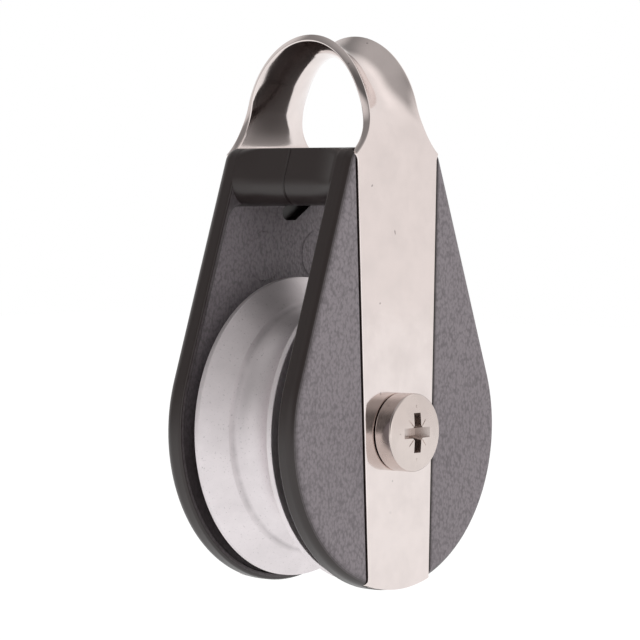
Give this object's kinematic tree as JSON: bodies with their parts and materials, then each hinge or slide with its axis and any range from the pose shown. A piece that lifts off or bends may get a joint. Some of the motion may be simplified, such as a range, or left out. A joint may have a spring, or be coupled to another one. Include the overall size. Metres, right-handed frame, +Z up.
{
  "type": "single pulley block",
  "caption": "Single rope pulley block: grooved sheave between two moulded teardrop cheeks, held by a folded steel strap that forms a dished fixed eye.",
  "frame": {"origin": "centre of the sheave's groove, on the axle's axis", "axes": "+Y along the sheave's axle from the screw head to the lock nut, +Z up to the eye, +X across the block"},
  "size_m": [0.05, 0.0388, 0.0875],
  "materials": {
    "moulded_cheek": "fine moulded texture",
    "polished_strap": "polished stainless steel with fine scratches",
    "cast_sheave": "matt, blasted",
    "bearing_plastic": "turned acetal",
    "steel_fastener": "bright stainless steel",
    "nylon_ring": "nylon"
  },
  "bodies": {
    "frame": {"near_cheek": "moulded_cheek", "far_cheek": "moulded_cheek", "strap": "polished_strap", "thrust_washer_near": "bearing_plastic", "thrust_washer_far": "bearing_plastic", "axle_sleeve": "steel_fastener", "axle_screw": "steel_fastener", "lock_nut": "steel_fastener", "nut_insert": "nylon_ring"},
    "sheave": {"sheave": "cast_sheave", "sheave_bush": "bearing_plastic"}
  },
  "joints": [
    {"name": "sheave_spin", "type": "hinge", "parent": "frame", "child": "sheave", "pos_m": [0, 0, 0], "axis": [0, 1, 0], "continuous": true}
  ]
}
